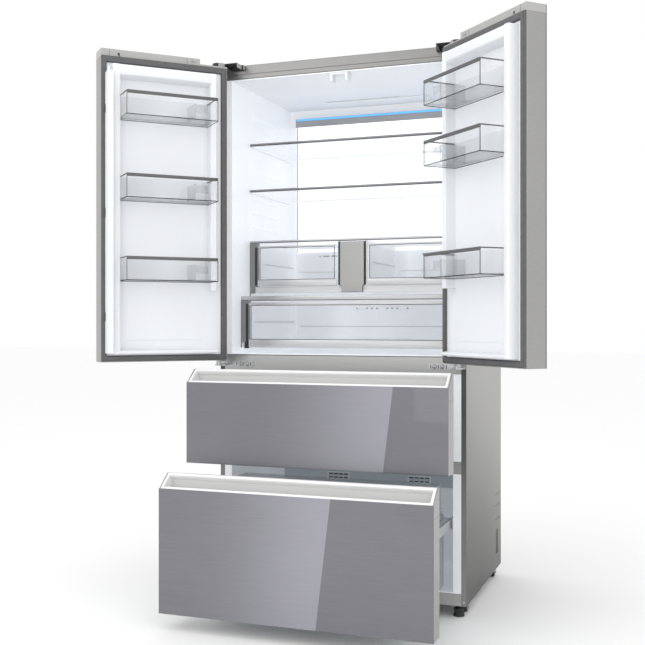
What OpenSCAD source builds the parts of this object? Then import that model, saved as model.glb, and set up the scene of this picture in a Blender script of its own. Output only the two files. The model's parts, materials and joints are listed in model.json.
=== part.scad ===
// French door refrigerator: two hinged doors with bins over two pull-out drawers.
// Z is up, the front faces -Y and the floor is at Z = 0. The origin lies on the floor on the
// centre line, midway between the face of the pulled-out lower drawer and the back of the cabinet.
// The doors are drawn standing open and both drawers pulled out.

/* [Cabinet] */
// Width of the cabinet
body_w = 900; // [750:1:1080]
// Height from the floor to the top of the cabinet
body_h = 1905; // [1780:1:2290]
// Depth of the cabinet behind its front plane
body_d = 650; // [600:1:780]
// Height of the side panels' lower edge above the floor
clear_h = 40; // [34:1:48]
// Thickness of the outer steel sheets
sheet_t = 1.2; // [0.8:0.1:2]
// Insulated wall from the outer side to the inside of a compartment
side_wall = 45; // [40:1:56]
// Insulated wall from the inside of a compartment to the back
rear_wall = 85; // [70:1:102]
// Wall above the refrigerator compartment
roof_wall = 53; // [50:1:64]
// Thickness of the plastic liners
liner_t = 2.5; // [2:0.1:3]
// Width of the folded front flange of a side panel
flange_w = 17; // [14:1:20]
// Depth of the front rails
rail_d = 18; // [12:1:24]
// Height of the machine bay for the compressor
bay_h = 300; // [250:1:360]

/* [Doors] */
// Thickness of a door or drawer front
front_t = 72; // [60:1:86]
// Gap between a front and the cabinet that the gasket fills
seal_gap = 12; // [10:1:14]
// Thickness of the glass on the fronts
glass_t = 4; // [3:0.5:6]
// Opening angle of both doors as drawn
door_open = 135; // [90:1:135]
// Distance from the cabinet's side to the hinge axis
hinge_in = 18.5; // [16:0.5:22]
// Distance from the front plane to the hinge axis
hinge_out = 53.5; // [50:0.5:58]
// Radius of the hinge pins
pin_r = 5; // [4:0.5:6]
// Height of a door's top cap
cap_h = 25; // [22:1:30]
// Height of the ridges moulded into the door liner
ridge_h = 40; // [30:1:48]
// Depth of a door bin from the door's inner face
bin_d = 120; // [90:1:130]
// Height of a door bin
bin_h = 80; // [60:1:96]
// Wall of the door bins and baskets
bin_t = 2.5; // [2:0.1:3.5]

/* [Folding centre strip] */
// Width of the strip
strip_w = 49; // [41:0.1:59]
// Thickness of the strip
strip_t = 18; // [14:0.1:22]

/* [Drawers] */
// Height of the lower drawer's face below its handle
low_face_h = 400; // [340:1:440]
// Height of the middle drawer's face below its handle
mid_face_h = 272; // [230:1:326]
// Height of the sloping handle channel
handle_h = 42; // [36:1:50]
// Depth of the handle's slope
handle_d = 53; // [45:1:55]
// Distance that the lower drawer is drawn pulled out
low_out = 369; // [300:1:400]
// Distance that the middle drawer is drawn pulled out
mid_out = 180; // [120:1:300]
// Gap between the two drawer fronts
drawer_gap = 15; // [12:1:17]
// Height of the slide members
slide_h = 40; // [30:1:45]
// Thickness of each slide member
slide_t = 6.5; // [5:0.5:7]

/* [Inside] */
// Distance from the front plane to the shelves and the small drawers
shelf_y = 155; // [135:1:186]
// Distance from the front plane to the wide drawer
wide_y = 75; // [62:1:90]
// Thickness of a glass shelf
shelf_t = 4; // [3:0.5:5]
// Height of the trim on a shelf's front edge
trim_h = 9; // [7:1:12]
// Height of the small drawers' space
small_h = 196; // [164:1:235]
// Height of the wide drawer's space
wide_h = 208; // [174:1:249]
// Width of the centre panel between the small drawers
tank_w = 92; // [76:1:110]

/* [Feet and rollers] */
// Radius of a levelling foot
foot_r = 19; // [16:1:22]
// Radius of the rollers
roller_r = 16.5; // [14:0.5:18]
// Width of the rollers
roller_w = 18; // [14:1:20]

/* [Hidden] */

// Clearances
fit = 0.05;          // radial clearance of a pin that turns in its bore
seam = 0.3;          // between fixed pieces that are not joined
touch = 1;           // between a gasket and what it closes on
slide_gap = 1;       // between sliding pieces
cut = 1;             // overshoot of a cutting shape
door_side = 2;       // between a door's edge and the cabinet's side or the centre line

// Cabinet
half_w = body_w / 2;
in_w = half_w - side_wall;
in_d = body_d - rear_wall;
flange_x = half_w - flange_w;
flange_over = 5;                     // side flange above the refrigerator compartment
face_d = seal_gap + front_t;
sheet_x = half_w - sheet_t - seam;   // what fits between the side sheets
sheet_y = body_d - sheet_t - seam;   // what fits before the rear sheet
y_mid = (body_d - face_d - low_out) / 2;
$fn = 48;

// Heights of the fronts and rails
low_z0 = clear_h + 13;
low_face_z1 = low_z0 + low_face_h;
low_z1 = low_face_z1 + handle_h;
mid_z0 = low_z1 + drawer_gap;
mid_face_z1 = mid_z0 + mid_face_h;
mid_z1 = mid_face_z1 + handle_h;
hinge_space = 25;
door_z0 = mid_z1 + hinge_space;
door_z1 = body_h - 2;
toe_z1 = clear_h + 40;
cross_z0 = low_z1 - 17;
cross_z1 = mid_z0 + 10;
mull_z0 = mid_z1 - 14;
mull_z1 = door_z0 + 17;
lip = 3;                             // liner flange beyond its compartment
groove_z = body_h - 33;
groove_h = 1.5;
groove_d = 2;

// Compartments
low_floor = toe_z1 + lip + 1;
low_ceil = cross_z0 - lip;
mid_floor = cross_z1 + lip;
mid_ceil = mull_z0 - lip;
fridge_floor = mull_z1 + 6;
fridge_ceil = body_h - roof_wall;
bay_z1 = clear_h + bay_h;
bay_d = 218;
bay_y = body_d - bay_d;
bay_gap = 2;                         // between the bay and the foam or the liner over it
step_z = bay_z1 + lip;
louvre_h = 7;
louvre_z = [1.06 * bay_h, 0.92 * bay_h, 0.74 * bay_h];
louvre_y = [body_d - 120, body_d - 28];
lift_y = [body_d - 108, body_d - 72];
lift_z = [0.33 * bay_h, 0.63 * bay_h];
grille_h = 8;
grille_pitch = bay_h * 0.12;
grille_w = half_w / 4;

// Doors, in the closed left door's frame
hinge_x = -half_w + hinge_in;
hinge_y = -hinge_out;
hinge_room = face_d - glass_t - hinge_out;
cover_r = hinge_room - 2.5;
top_eye_r = cover_r * 0.625;
cover_wall = 3;
// How far the cover and the arm reach towards the side: short of the glass of a door open at 135
cover_left = min(4, (hinge_room - hinge_in + door_side) * sin(45) - seam);
arm_x = hinge_x - cover_left + cover_wall + 1;
door_x0 = -half_w + door_side;
door_x1 = -door_side;
face_y = -face_d;
back_y = -seal_gap;
notch_w = 100;
notch_z = door_z1 - 18;
bore_r = pin_r + fit;
bore_d = 24;
seal_in_side = 17;
seal_in_hinge = 21.5;
seal_z0 = door_z0 + 3;
seal_z1 = door_z1 - cap_h;
seal_in_low = 19;
seal_in_top = 22;

// Centre strip, folded against the left door's free side
strip_px = door_x1 - 15;
strip_front = 4;
strip_side = 4;
strip_py = strip_front;
strip_reach = strip_w - strip_side + strip_px;       // past the centre line, unfolded
strip_fold = strip_t - strip_front - strip_px;       // from the centre line, folded
strip_z0 = fridge_floor + 8;
strip_z1 = fridge_ceil - 34;
peg_r = 3.5;
peg_h = 16;

// Ridges of the door liner, clear of the strip in both of its places
ridge_w = 24;
ridge_x1 = -max(strip_reach + 7, strip_fold + 4);
ridge_x0 = ridge_x1 - ridge_w;
bin_x0 = door_x0 + 74;
bin_x1 = ridge_x0 - 1;

// Door bins: the lowest bin, the highest bin, and the share of the way up of the middle ones
bin_low_z = door_z0 + 272;
bin_high_z = door_z1 - 238;
bin_share_left = 0.5;
bin_share_right = 0.65;
bin_rail_h = 11;

// Inside the refrigerator compartment
wide_z1 = fridge_floor + wide_h;
wide_bottom = fridge_floor + 20;
small_z0 = wide_z1 + 12;
small_z1 = small_z0 + small_h;
shelf_space = fridge_ceil - small_z1;
shelf_z = [small_z1 + shelf_space * 0.34, small_z1 + shelf_space * 0.645];
panel_w = 2 * (in_w - 36);
panel_y = in_d - 15;
header_z0 = fridge_ceil - 70;
header_h = 34;
post_w = 33;
post_d = 20;
rail_top = small_z0 + 24;
rail_h = 6;
cheek_t = 5;
cover_h = 18;                        // front trim of the glass over the wide drawer
back_room = 30;                      // behind the drawers and their rails
small_top = small_z1 - trim_h - seam;

// Rear of the lower compartment
duct_y = in_d - 65;
duct_t = 3;
vent_w = 16;
vent_pitch = 21;
vent_h = 6;
vent_rise = 14;
cool_z = (step_z + low_ceil) / 2;
fan_x = in_w / 2;
fan_hub = 14;
fan_r = (low_ceil - step_z) * 0.3;
coil_x = [-in_w + 20, fan_x - fan_r - 40];
coil_z0 = step_z + liner_t + 10;
coil_h = low_ceil - step_z - liner_t - 24;
coil_r = 5;
fin_pitch = 30;
fin_d = 42;

// Rollers and feet
axle_r = 3;
front_rise = 1;                      // the front rollers hang this far off the floor
pan_t = 3;
ear_t = 2.5;
ear_gap = 1;
ear_half = 14;
ear_drop = 6;
stem_r = 6;
boss_r = stem_r + 5;
foot_x = half_w - 32;
foot_y = 32;
roller_x = half_w - 14;
roller_y = [86, body_d - 60];
roller_z = [roller_r + front_rise, roller_r];

// ---------------------------------------------------------------- helpers

module put() translate([0, -y_mid, 0]) children();

module box(x, y, z) translate([x[0], y[0], z[0]]) cube([x[1] - x[0], y[1] - y[0], z[1] - z[0]]);

module both() {
    children();
    mirror([1, 0, 0]) children();
}

function arc(c, r, a0, n = 5) =
    [for (i = [0:n]) [c[0] + r * cos(a0 + 90 * i / n), c[1] + r * sin(a0 + 90 * i / n)]];

function round_rect(x, y, r) = concat(
    arc([x[1] - r, y[1] - r], r, 0), arc([x[0] + r, y[1] - r], r, 90),
    arc([x[0] + r, y[0] + r], r, 180), arc([x[1] - r, y[0] + r], r, 270));

// A round-cornered block, seen in plan
module block(x, y, z, r) translate([0, 0, z[0]]) linear_extrude(z[1] - z[0])
    polygon(round_rect(x, y, r));

// A round-cornered panel, seen from the front
module panel(x, y, z, r) translate([0, y[1], 0]) rotate([90, 0, 0]) linear_extrude(y[1] - y[0])
    polygon(round_rect(x, z, r));

// A profile of [y, z] points run along X
module bar(x, profile) translate([x[0], 0, 0]) rotate([90, 0, 90])
    linear_extrude(x[1] - x[0]) polygon(profile);

// A tub with an open top
module tub(x, y, z, t, r) difference() {
    block(x, y, z, r);
    block([x[0] + t, x[1] - t], [y[0] + t, y[1] - t], [z[0] + t, z[1] + cut], max(r - t, 0.5));
}

// A frame of rectangular section, seen from the front
module ring(x, y, z, wall_x, wall_z) difference() {
    box(x, y, z);
    box([x[0] + wall_x[0], x[1] - wall_x[1]], [y[0] - cut, y[1] + cut],
        [z[0] + wall_z[0], z[1] - wall_z[1]]);
}

module pin(r, p, z) translate([p[0], p[1], z[0]]) cylinder(r = r, h = z[1] - z[0]);

module axle(r, x, y, z) translate([x[0], y, z]) rotate([0, 90, 0]) cylinder(r = r, h = x[1] - x[0]);

// ---------------------------------------------------------------- cabinet

module side_sheet() {
    box([half_w - sheet_t, half_w], [0, body_d], [clear_h, body_h]);
    box([flange_x, half_w], [0, sheet_t], [clear_h, fridge_ceil + flange_over]);
}

// Louvres and the lifting recess at the foot of each side
module side_panel() color("darkgray") difference() {
    side_sheet();
    for (z = louvre_z) box([half_w - 2 * sheet_t, half_w + cut], louvre_y, [z, z + louvre_h]);
    box([half_w - 2 * sheet_t, half_w + cut], lift_y, lift_z);
}

module top_panel() color("darkgray")
    box([-sheet_x, sheet_x], [0, sheet_y], [body_h - sheet_t, body_h]);

module rear_panel() color("gainsboro")
    box([-sheet_x, sheet_x], [body_d - sheet_t, body_d], [bay_z1 + bay_gap, body_h]);

module compressor_cover() color("dimgray") difference() {
    box([-sheet_x, sheet_x], [body_d - sheet_t, body_d], [clear_h + pan_t + 1, bay_z1 + 1]);
    for (x = [-3:3]) for (z = [1:6]) translate([x * grille_w, 0, clear_h + z * grille_pitch])
        box([-grille_w * 0.36, grille_w * 0.36], [body_d - 2 * sheet_t, body_d + cut],
            [14, 14 + grille_h]);
}

// Floor pan with the ears that carry the rollers and the threaded seats of the feet
module base_tray() color("gray") difference() {
    union() {
        box([-sheet_x, sheet_x], [rail_d + 1, sheet_y], [clear_h, clear_h + pan_t]);
        both() {
            for (y = roller_y) for (x = [roller_x - roller_w - ear_gap - ear_t, roller_x + ear_gap])
                box([x, x + ear_t], [y - ear_half, y + ear_half], [roller_r - ear_drop, clear_h + 1]);
            pin(boss_r, [foot_x, foot_y], [clear_h - 3, clear_h + 22]);
        }
    }
    both() {
        for (i = [0, 1]) axle(axle_r + fit, [roller_x - roller_w - 8, roller_x + 8], roller_y[i],
            roller_z[i]);
        pin(stem_r + fit, [foot_x, foot_y], [clear_h - 8, clear_h + 30]);
    }
}

// Top trim with its shadow groove, the rails between the compartments and the toe rail
module front_frame() color("silver") {
    difference() {
        box([-sheet_x, sheet_x], [0, rail_d],
            [fridge_ceil + flange_over + seam, body_h - sheet_t - seam]);
        box([-half_w, half_w], [-cut, groove_d], [groove_z, groove_z + groove_h]);
    }
    for (z = [[clear_h, toe_z1], [cross_z0, cross_z1], [mull_z0, mull_z1]])
        box([-flange_x + seam, flange_x - seam], [0, rail_d], z);
}

module liner_shell(z) difference() {
    union() {
        box([-in_w - liner_t, in_w + liner_t], [0, in_d + liner_t], [z[0] - liner_t, z[1] + liner_t]);
        box([-flange_x + seam, flange_x - seam], [0, liner_t], [z[0] - lip, z[1] + lip]);
    }
    box([-in_w, in_w], [-cut, in_d], z);
}

module ledge(z) both() box([in_w - 8, in_w + 1], [shelf_y + 12, in_d - 20], [z - 5, z]);

module fridge_liner() color("white") {
    liner_shell([fridge_floor, fridge_ceil]);
    for (z = shelf_z) ledge(z - trim_h + 2);
}

// Middle compartment, and the lower one with its step over the machine bay
module freezer_liner() color("white") {
    liner_shell([mid_floor, mid_ceil]);
    difference() {
        union() {
            liner_shell([low_floor, low_ceil]);
            box([-in_w - liner_t, in_w + liner_t], [bay_y - bay_gap - liner_t, in_d + liner_t],
                [low_floor, step_z + liner_t]);
        }
        box([-half_w, half_w], [bay_y - bay_gap, body_d], [0, step_z]);
    }
}

// Foam between the outer sheets and the liners, open at the machine bay
module foam_fill() color("khaki") difference() {
    box([-sheet_x, sheet_x], [rail_d + 1, sheet_y], [clear_h + 26, body_h - sheet_t - seam]);
    for (z = [[fridge_floor, fridge_ceil], [mid_floor, mid_ceil], [low_floor, low_ceil]])
        box([-in_w - liner_t - seam, in_w + liner_t + seam], [-cut, in_d + liner_t + seam],
            [z[0] - liner_t - seam, z[1] + liner_t + seam]);
    box([-half_w, half_w], [bay_y - bay_gap, body_d + cut], [0, step_z]);
}

// Air duct cover on the rear wall, with a header bar and slots for cold air
module duct_panel() color("white") difference() {
    union() {
        panel([-panel_w / 2, panel_w / 2], [panel_y, in_d - seam],
            [small_z1 - 20, header_z0], 6);
        box([-panel_w / 2 - 4, panel_w / 2 + 4], [panel_y - 6, in_d - seam],
            [header_z0 - 1, header_z0 + header_h]);
    }
    for (x = [-4:4]) box([x * panel_w / 10 - 22, x * panel_w / 10 + 22],
        [panel_y - 10, in_d + cut], [header_z0 + header_h - 5, header_z0 + header_h - 2]);
}

// Rear cover of the lower compartment, with two rows of vents and the fan's bearing
module freezer_duct() color("slategray") difference() {
    union() {
        box([-in_w + seam, in_w - seam], [duct_y, duct_y + duct_t],
            [step_z + liner_t + 1, low_ceil - seam]);
        translate([fan_x, duct_y + duct_t, cool_z]) rotate([-90, 0, 0])
            cylinder(r = axle_r + 6, h = 14);
    }
    for (x = [-in_w * 0.42, in_w * 0.4]) for (i = [-2:1]) for (z = [18, 18 + vent_rise])
        translate([x + i * vent_pitch, 0, step_z + z])
            box([0, vent_w], [duct_y - cut, duct_y + duct_t + cut], [0, vent_h]);
    translate([fan_x, duct_y - cut, cool_z]) rotate([-90, 0, 0])
        cylinder(r = axle_r + fit, h = 40);
}

// Fan that drives air through the vents
module fan() color("whitesmoke") translate([fan_x, duct_y + 20, cool_z]) rotate([-90, 0, 0]) {
    cylinder(r = fan_hub, h = 20);
    translate([0, 0, -17]) cylinder(r = axle_r, h = 18);
    for (a = [0:60:300]) rotate([0, 0, a]) translate([fan_hub - 2, -8, 5]) rotate([25, 0, 0])
        cube([fan_r - fan_hub + 2, 16, 2]);
}

// Finned coil behind the rear cover
module evaporator() color("lightsteelblue") {
    for (x = [coil_x[0] + 10:fin_pitch:coil_x[1] - 10])
        box([x, x + 1], [in_d - 50, in_d - 50 + fin_d], [coil_z0, coil_z0 + coil_h]);
    for (i = [1, 3, 5]) for (y = [in_d - 40, in_d - 20]) axle(coil_r, coil_x, y, coil_z0 + coil_h * i / 6);
}

// Hermetic compressor on its mounting plate
pump_profile = [[0, 8], [60, 8], [70, 20], [72, 60], [78, 66], [78, 72], [72, 76], [68, 118],
    [52, 142], [26, 154], [0, 158]];

module compressor() color("dimgray")
    translate([-half_w * 0.42, body_d - 105, clear_h + pan_t + seam]) {
        box([-95, 95], [-62, 62], [0, 4]);
        for (x = [-78, 78]) for (y = [-48, 48]) pin(10, [x, y], [3, 17]);
        translate([0, 0, 3]) rotate_extrude() polygon(pump_profile);
        box([60, 94], [-20, 20], [62, 106]);
        pin(30, [0, 0], [2, 12]);
    }

module ceiling_lamp() color("white")
    block([-in_w / 2, in_w / 2], [in_d - 125, in_d - 45], [fridge_ceil - 5, fridge_ceil - seam], 8);

// Guide under the roof that the centre strip's peg enters as the door shuts
module strip_guide() color("white") {
    w = -ridge_x1 - 2;
    y = [4, 44];
    plate_z = fridge_ceil - 6;
    box([-w, w], y, [plate_z, fridge_ceil - seam]);
    both() block([w - 10, w], y, [fridge_ceil - 28, plate_z], 4);
}

// One shelf: a glass plate with a deep front trim and a slim rear trim
module shelf(y0, z, front_h, w) {
    box([-w, w], [y0 + 7, panel_y - 14], [z - shelf_t - 1, z - 1]);
    box([-w, w], [y0, y0 + 10], [z - front_h, z]);
    box([-w, w], [panel_y - 20, panel_y - 10], [z - trim_h + 2, z]);
}

module glass_shelves() color("lightcyan") {
    for (z = shelf_z) shelf(shelf_y, z, trim_h, in_w - slide_gap);
    shelf(shelf_y, small_z1, trim_h, in_w - slide_gap);
    shelf(wide_y, wide_z1, cover_h, in_w - slide_gap);
}

// Frame beside the wide drawer: a cheek on the liner, a post with its leg and the rail below
module lower_side_frame() {
    x0 = in_w - post_w;
    top = wide_z1 - cover_h - seam;
    rail_z = wide_bottom - slide_gap;
    box([in_w - cheek_t, in_w - seam], [wide_y, in_d - 20], [fridge_floor + 18, top]);
    box([x0, in_w - seam], [wide_y, wide_y + post_d], [fridge_floor + 39, top]);
    box([x0 + 3, x0 + 19], [wide_y + 2, wide_y + post_d - 2], [wide_bottom - 4, fridge_floor + 40]);
    box([x0 - 32, in_w - 4], [wide_y + 10, in_d - back_room], [rail_z - rail_h, rail_z]);
}

// Frame beside a small drawer
module upper_side_frame() {
    x0 = in_w - post_w;
    box([in_w - cheek_t, in_w - seam], [shelf_y, in_d - 20], [wide_z1 + seam, small_top]);
    box([x0, in_w - seam], [shelf_y, shelf_y + post_d], [rail_top, small_top]);
    box([x0 + 12, x0 + 28], [shelf_y + 2, shelf_y + post_d - 2], [small_z0, rail_top + 1]);
    box([x0 - 9, in_w - 4], [shelf_y + post_d - 2, in_d - back_room], [rail_top - rail_h, rail_top]);
}

// Cross bar under the small drawers, with the partitions and rails each side of the tank
module centre_frame() {
    x = tank_w / 2;
    bar_x = in_w - post_w + 12 - seam;
    box([-bar_x, bar_x], [shelf_y + 4, shelf_y + post_d - 2 - seam], [small_z0, rail_top - seam]);
    both() {
        box([x + 1, x + 10], [shelf_y, shelf_y + 6], [rail_top - 1, small_top]);
        box([x + 5, x + 7], [shelf_y, in_d - back_room], [small_z0 + 12, small_top]);
        box([x - 20, x + 18], [shelf_y + 10, in_d - back_room], [rail_top - rail_h, rail_top]);
    }
}

module drawer_frame() color("darkgray") {
    both() {
        lower_side_frame();
        upper_side_frame();
    }
    centre_frame();
}

// A small drawer: clear tub with a deep front trim
module small_drawer() color("aliceblue") {
    x = [tank_w / 2 + 12, in_w - post_w - 2];
    front = [shelf_y - 5, shelf_y + 1];
    top = small_z1 - trim_h - 12;
    tub(x, [shelf_y, in_d - back_room - 10], [rail_top + slide_gap, top], bin_t, 6);
    box(x, front, [rail_top + 3, rail_top + 25]);
    box(x, front, [top - 5, top]);
}

// Centre water tank with its metal front and lower grip lip
module water_tank() color("silver") {
    w = tank_w / 2;
    block([-w, w], [shelf_y - 5, shelf_y + 240],
        [rail_top + slide_gap, small_z1 - trim_h - slide_gap - 2], 3);
    box([-w + 6, w - 6], [shelf_y - 5, shelf_y + 3], [small_z0 + 2, rail_top + 2]);
}

module wide_drawer() color("aliceblue") {
    w = in_w - post_w - slide_gap;
    tub([-w, w], [wide_y, in_d - back_room], [wide_bottom, wide_z1 - cover_h - 6], bin_t, 6);
    box([-w, w], [wide_y - 5, wide_y + 1], [wide_bottom, wide_bottom + 45]);
}

// ---------------------------------------------------------------- hinges

// Left hinge parts; the right ones are their mirror image
arm_w = 26;
plate_z = [notch_z + 3, notch_z + 7];
screw_r = 2.5;
step_w = 72;
foot_w = 97;

module top_hinge() difference() {
    union() {
        box([-half_w + 3, -half_w + foot_w - 1], [-3, 0], [plate_z[0], door_z1 - 3]);
        box([arm_x, hinge_x + arm_w], [hinge_y, -2], plate_z);
        pin(top_eye_r, [hinge_x, hinge_y], plate_z);
        pin(pin_r, [hinge_x, hinge_y], [notch_z - 22, plate_z[1] - 3]);
    }
    for (x = [60, 84]) translate([-half_w + x, cut, plate_z[1] + 2]) rotate([90, 0, 0])
        cylinder(r = screw_r, h = 6);
}

module top_hinges() color("lightslategray") both() top_hinge();

// Plan of the hinge cover, drawn smaller by g
module cover_outline(g) {
    translate([hinge_x, hinge_y]) circle(r = cover_r - g);
    translate([hinge_x - cover_left + g, hinge_y])
        square([step_w + cover_left - 2 * g, hinge_out - 4 - g]);
    translate([-half_w + 1 + g, -18 + g]) square([foot_w - 2 * g, 14 - 2 * g]);
}

module hinge_cover() difference() {
    translate([0, 0, notch_z + 1]) linear_extrude(door_z1 - notch_z - 1) cover_outline(0);
    translate([0, 0, notch_z]) linear_extrude(door_z1 - notch_z - cover_wall)
        cover_outline(cover_wall);
    box([arm_x - seam, hinge_x + arm_w + seam], [-20, 0], [notch_z, plate_z[1] + seam]);
}

module hinge_covers() color("dimgray") both() hinge_cover();

leaf_z = [mid_z1 + 5, mid_z1 + 10];

module middle_hinge() difference() {
    union() {
        box([-half_w + 2, -half_w + 128], [-4, 0], [mid_z1 + 2, mid_z1 + 20]);
        box([hinge_x - 13, hinge_x + 24], [hinge_y, -1], leaf_z);
        pin(pin_r + 9, [hinge_x, hinge_y], leaf_z);
        pin(pin_r + 4, [hinge_x, hinge_y], [leaf_z[1] - 1, door_z0 - 1]);
        pin(pin_r, [hinge_x, hinge_y], [leaf_z[1] - 1, door_z0 + 20]);
    }
    for (x = [78, 104]) box([-half_w + x, -half_w + x + 6], [-6, cut], [mid_z1 + 7, mid_z1 + 16]);
}

module middle_hinges() color("lightsteelblue") both() middle_hinge();

// ---------------------------------------------------------------- doors

module swing() translate([hinge_x, hinge_y, 0]) rotate([0, 0, -door_open])
    translate([-hinge_x, -hinge_y, 0]) children();

module left_door() put() swing() children();

module right_door() put() mirror([1, 0, 0]) swing() children();

module door_glass() color("lightslategray")
    box([door_x0, door_x1], [face_y, face_y + glass_t], [door_z0, door_z1]);

// Foamed carcass of a door with its side frame, bored for the hinge pins
module door_body() color("silver") difference() {
    box([door_x0, door_x1], [face_y + glass_t, back_y], [door_z0, seal_z1]);
    pin(bore_r, [hinge_x, hinge_y], [door_z0 - cut, door_z0 + bore_d]);
    pin(bore_r, [hinge_x, hinge_y], [seal_z1 - bore_d, seal_z1 + cut]);
}

module door_cap() color("silver") difference() {
    box([door_x0, door_x1], [face_y + glass_t, back_y], [seal_z1, door_z1]);
    box([door_x0 - cut, door_x0 + notch_w], [face_y + glass_t - cut, back_y + cut],
        [notch_z, door_z1 + cut]);
    pin(bore_r, [hinge_x, hinge_y], [seal_z1 - cut, notch_z + cut]);
    box([door_x0 + notch_w + 14, door_x0 + notch_w + 32], [back_y - 3, back_y + cut],
        [notch_z + 4, notch_z + 6]);
    translate([door_x1 - 62, back_y + cut, seal_z1 + 4]) rotate([90, 0, 0])
        cylinder(r = screw_r, h = 6);
}

// White inner liner with the moulded ridges that hold the bins
module door_liner() color("white") {
    x = [door_x0 + 3.5 + seal_in_hinge, door_x1 - 1 - seal_in_side];
    z = [seal_z0 + seal_in_low + 1, seal_z1 - seal_in_top - 1];
    top = fridge_ceil - 6;
    y = [back_y, back_y + ridge_h];
    hinge_ridge = [[x[0] + 2, y[0]], [-in_w + 3, y[0] + 8], [-in_w + 5, y[0] + 14],
        [-in_w + 8, y[1] - 3], [-in_w + 11, y[1]], [bin_x0 - 4, y[1]], [bin_x0 - 1, y[1] - 3],
        [bin_x0 - 1, y[0]]];
    box(x, [y[0], y[0] + liner_t], z);
    block([ridge_x0, ridge_x1], y, [fridge_floor + 5, top], 4);
    translate([0, 0, small_z0]) linear_extrude(top - small_z0) polygon(hinge_ridge);
    bar([bin_x0 - 2, ridge_x0 + 6], [[y[0], top - 44], [y[1] - 4, top - 36], [y[1], top - 32],
        [y[1], top - 4], [y[1] - 4, top], [y[0], top]]);
    bar([bin_x0 - 28, ridge_x0 + 6], [[y[0], fridge_floor + 5], [y[1] - 3, fridge_floor + 5],
        [y[1], fridge_floor + 8], [y[1] - 3, fridge_floor + 16], [y[0], fridge_floor + 20]]);
}

// Magnetic gasket: a wide base with a narrower sealing lip, which stands in from its edges
module gasket(x, z, wall_x, wall_z) color("dimgray") {
    lip_in = 3;
    ring(x, [back_y, back_y + seal_gap - 5], z, wall_x, wall_z);
    ring([x[0] + lip_in + 2, x[1] - lip_in], [back_y, -touch], [z[0] + lip_in, z[1] - lip_in],
        [wall_x[0] - lip_in - 4, wall_x[1] - lip_in - 2],
        [wall_z[0] - lip_in - 2, wall_z[1] - lip_in - 2]);
}

module door_gasket() gasket([door_x0 + 3.5, door_x1 - 1], [seal_z0, seal_z1],
    [seal_in_hinge, seal_in_side], [seal_in_low, seal_in_top]);

module door_bins(share) color("aliceblue")
    for (z = [bin_low_z, bin_low_z + share * (bin_high_z - bin_low_z), bin_high_z]) {
        tub([bin_x0, bin_x1], [back_y + liner_t + seam, back_y + bin_d], [z, z + bin_h], bin_t, 5);
        box([bin_x0, bin_x1], [back_y + bin_d - 4, back_y + bin_d + 2],
            [z + bin_h - bin_rail_h, z + bin_h]);
    }

// ---------------------------------------------------------------- folding centre strip

strip_seats = [for (s = [0.13, 0.5, 0.87]) strip_z0 + s * (strip_z1 - strip_z0)];
seat_h = 30;
strip_pin_r = 2.5;
knuckle_r = 3.5;

// Strip in its folded place on the closed left door
module centre_strip() color("white") difference() {
    union() {
        translate([0, 0, strip_z0]) linear_extrude(strip_z1 - strip_z0) union() {
            translate([strip_px - strip_t + strip_front, strip_py])
                square([strip_t, strip_w - strip_side]);
            translate([strip_px - strip_t + strip_front, strip_py - strip_side])
                square([strip_t - strip_front, strip_w]);
            translate([strip_px, strip_py]) circle(r = strip_front);
        }
        pin(peg_r, [strip_px - 5, strip_py + 18], [strip_z1 - 1, strip_z1 + peg_h]);
    }
    for (z = strip_seats) box([strip_px - strip_t, strip_px + strip_front + cut],
        [strip_py - 6, strip_py + 7], [z - seat_h / 2 - seam, z + seat_h / 2 + seam]);
    pin(strip_pin_r + fit, [strip_px, strip_py], [strip_z0 - cut, strip_z1 + cut]);
}

// Three brackets on the door's ridge, each with its pin
module strip_hinges() color("dimgray") for (z = strip_seats) {
    box([ridge_x1, strip_px], [strip_py - knuckle_r, strip_py + knuckle_r],
        [z - seat_h / 2, z + seat_h / 2]);
    pin(knuckle_r, [strip_px, strip_py], [z - seat_h / 2, z + seat_h / 2]);
    pin(strip_pin_r, [strip_px, strip_py], [z - seat_h / 2 - 12, z + seat_h / 2 + 12]);
}

// ---------------------------------------------------------------- drawers

module low_drawer() put() translate([0, -low_out, 0]) children();
module mid_drawer() put() translate([0, -mid_out, 0]) children();

module front_glass(z0, z1) color("lightslategray")
    box([-half_w, half_w], [face_y, face_y + glass_t], [z0, z1]);

// Side view of the handle channel's block: z1 is the top of the glass
function handle_profile(z1) = let (y = face_y + glass_t)
    [[y, z1 - handle_h], [y, z1], [y + handle_d, z1 + handle_h], [back_y, z1 + handle_h],
     [back_y, z1 - handle_h]];

function pocket_profile(z1) = let (y = face_y + glass_t)
    [[y + lip_t, z1 - handle_h + pocket_t], [y + lip_t, z1 + 20],
     [y + handle_d - lip_t, z1 + handle_h + 12], [y + handle_d - lip_t, z1 + handle_h - 9],
     [back_y - 8, z1 + handle_h - 20], [back_y - 8, z1 - handle_h + pocket_t]];

end_t = 4;
lip_t = 7;
pocket_t = 9;

module front_handle(z1) color("whitesmoke") {
    difference() {
        bar([-half_w + end_t + seam, half_w - end_t - seam], handle_profile(z1));
        bar([-half_w + end_t + pocket_t, half_w - end_t - pocket_t], pocket_profile(z1));
    }
}

// Foamed core with the end cheeks of the handle and the white inner pan
module front_core(z0, z1) color("silver") {
    box([-half_w, half_w], [face_y + glass_t, back_y], [z0, z1 - handle_h - seam]);
    both() bar([half_w - end_t, half_w], handle_profile(z1));
    box([-in_w + 8, in_w - 8], [back_y - cut, back_y + liner_t], [z0 + 34, z1 - handle_h - 4]);
}

module drawer_gasket(z0, z1) gasket([-half_w + 4, half_w - 4], [z0, z1], [20, 20], [17, 17]);

// Slide members: fixed on the liner, linking, and riding with the drawer
function slide_x(i) = [in_w - (i + 1) * (slide_t + member_gap), in_w - i * slide_t - (i + 1) * member_gap];

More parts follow.
